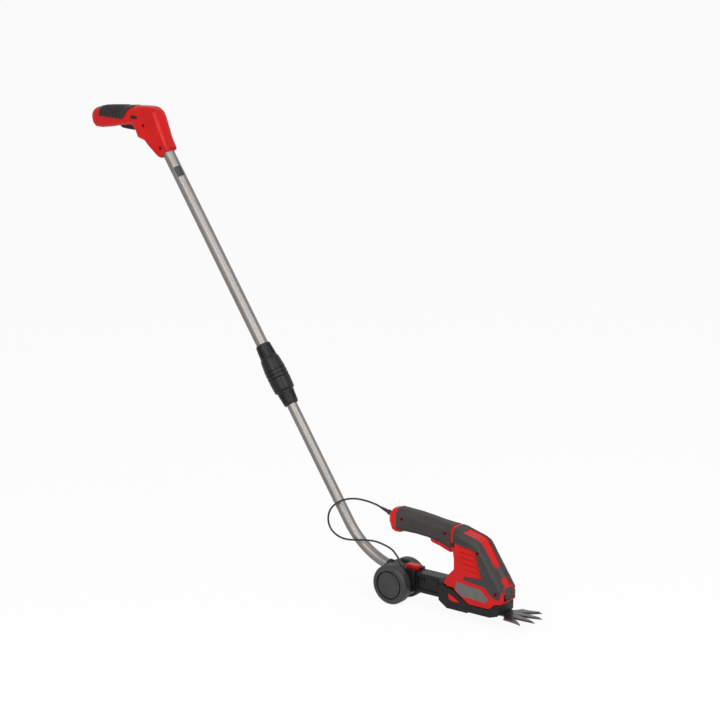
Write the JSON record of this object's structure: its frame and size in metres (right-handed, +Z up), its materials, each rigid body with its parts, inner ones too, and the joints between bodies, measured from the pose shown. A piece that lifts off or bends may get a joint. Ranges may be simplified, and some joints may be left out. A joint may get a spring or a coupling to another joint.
{
  "type": "cordless grass shears",
  "caption": "Cordless grass shears held in a wheeled trolley with a bent telescopic pole, a pistol handle with its own trigger, and a short link cable.",
  "frame": {"origin": "on the ground under the middle of the wheel axle", "axes": "+X forward to the blade tips, +Z up, +Y to the left, with Y = 0 the plane where the halves meet"},
  "size_m": [0.987, 0.0704, 0.8249],
  "materials": {
    "aluminium": "satin anodised",
    "black_plastic": "fine grained",
    "grey_plastic": "smooth",
    "wheel_plastic": "smooth",
    "red_plastic": "satin",
    "soft_grip": "matt moulded",
    "cable": "matt",
    "steel": "plain",
    "blade_steel": "ground",
    "brass": "plain",
    "gear_plastic": "smooth",
    "cell": "shrink film",
    "board": "solder mask",
    "dark_window": "polished"
  },
  "bodies": {
    "chassis": {"lower_tube": "aluminium", "pole_lead": "cable", "trolley_left": "black_plastic", "trolley_right": "black_plastic", "axle": "steel", "axle_clips": "steel", "cable_gland": "cable", "link_cable": "cable", "link_plug": "cable", "trolley_screws": "steel", "casing_left": "red_plastic", "casing_right": "red_plastic", "grip_pad_left": "soft_grip", "grip_pad_right": "soft_grip", "side_pad_left": "soft_grip", "side_pad_right": "soft_grip", "vent_left": "red_plastic", "vent_right": "red_plastic", "rear_cap": "red_plastic", "socket": "black_plastic", "window": "dark_window", "nose_pad": "soft_grip", "trigger_pin": "steel", "trigger_spring": "steel", "switch": "grey_plastic", "battery": "cell", "circuit_board": "board", "motor": "steel", "gear_plate": "steel", "base": "black_plastic", "base_plate": "black_plastic", "lower_blade": "blade_steel", "blade_pin": "steel", "casing_screws": "steel", "release_spring": "steel"},
    "upper_pole": {"upper_tube": "aluminium", "clamp_body": "black_plastic", "clamp_collet": "grey_plastic", "handle_left": "red_plastic", "handle_right": "red_plastic", "handle_pad": "soft_grip", "handle_trigger_pin": "steel", "handle_trigger_spring": "steel", "handle_switch": "grey_plastic", "handle_screws": "steel"},
    "clamp_nut": {"clamp_nut": "black_plastic"},
    "wheel_left": {"wheel_left": "wheel_plastic", "wheel_cap_left": "wheel_plastic"},
    "wheel_right": {"wheel_right": "wheel_plastic", "wheel_cap_right": "wheel_plastic"},
    "trigger": {"trigger": "red_plastic"},
    "lock_button": {"lock_button": "black_plastic"},
    "handle_trigger": {"handle_trigger": "black_plastic"},
    "handle_lock": {"handle_lock": "grey_plastic"},
    "release_button": {"release_button": "red_plastic"},
    "blade_button_left": {"blade_button_left": "red_plastic"},
    "blade_button_right": {"blade_button_right": "red_plastic"},
    "upper_blade": {"upper_blade": "blade_steel"},
    "drive_gear": {"drive_gear": "gear_plastic"},
    "motor_pinion": {"motor_pinion": "brass"}
  },
  "joints": [
    {"name": "telescope", "type": "slide", "parent": "chassis", "child": "upper_pole", "axis": [-0.5534, 0, 0.8329], "range_m": [-0.14, 0.16]},
    {"name": "clamp_twist", "type": "hinge", "parent": "upper_pole", "child": "clamp_nut", "pos_m": [-0.23904, 0, 0.31377], "axis": [-0.5534, 0, 0.8329], "range_deg": [0, 90]},
    {"name": "wheel_left_spin", "type": "hinge", "parent": "chassis", "child": "wheel_left", "pos_m": [0, 0.02475, 0.035], "axis": [0, 1, 0], "continuous": true},
    {"name": "wheel_right_spin", "type": "hinge", "parent": "chassis", "child": "wheel_right", "pos_m": [0, -0.02475, 0.035], "axis": [0, 1, 0], "continuous": true},
    {"name": "trigger_pull", "type": "hinge", "parent": "chassis", "child": "trigger", "pos_m": [0.112, 0, 0.1195], "axis": [0, 1, 0], "range_deg": [0, 7], "stiffness_Nm_per_rad": 0.4, "deforming": ["trigger_spring"]},
    {"name": "lock_press", "type": "slide", "parent": "chassis", "child": "lock_button", "axis": [0, 1, 0], "range_m": [0, 0.0025], "stiffness_N_per_m": 300},
    {"name": "handle_trigger_pull", "type": "hinge", "parent": "upper_pole", "child": "handle_trigger", "pos_m": [-0.6387, 0, 0.79223], "axis": [0, -1, 0], "range_deg": [0, 8], "stiffness_Nm_per_rad": 0.4, "deforming": ["handle_trigger_spring"]},
    {"name": "handle_lock_press", "type": "slide", "parent": "upper_pole", "child": "handle_lock", "axis": [0, 1, 0], "range_m": [0, 0.003], "stiffness_N_per_m": 300},
    {"name": "release_press", "type": "slide", "parent": "chassis", "child": "release_button", "axis": [0, 0, -1], "range_m": [0, 0.003], "stiffness_N_per_m": 500, "deforming": ["release_spring"]},
    {"name": "blade_button_left_press", "type": "slide", "parent": "chassis", "child": "blade_button_left", "axis": [0, -1, 0], "range_m": [0, 0.002], "stiffness_N_per_m": 400},
    {"name": "blade_button_right_press", "type": "slide", "parent": "chassis", "child": "blade_button_right", "axis": [0, 1, 0], "range_m": [0, 0.002], "stiffness_N_per_m": 400},
    {"name": "blade_swing", "type": "hinge", "parent": "chassis", "child": "upper_blade", "pos_m": [0.20475, 0, 0.025], "axis": [0, 0, 1], "range_deg": [-5.5, 5.5]},
    {"name": "gear_spin", "type": "hinge", "parent": "chassis", "child": "drive_gear", "pos_m": [0.18475, 0, 0.069], "axis": [0, 0, 1], "continuous": true},
    {"name": "pinion_spin", "type": "hinge", "parent": "chassis", "child": "motor_pinion", "pos_m": [0.1644, 0, 0.069], "axis": [0, 0, 1], "continuous": true}
  ],
  "couplings": [
    {"joint": "pinion_spin", "follows": "gear_spin", "ratio": -4}
  ]
}
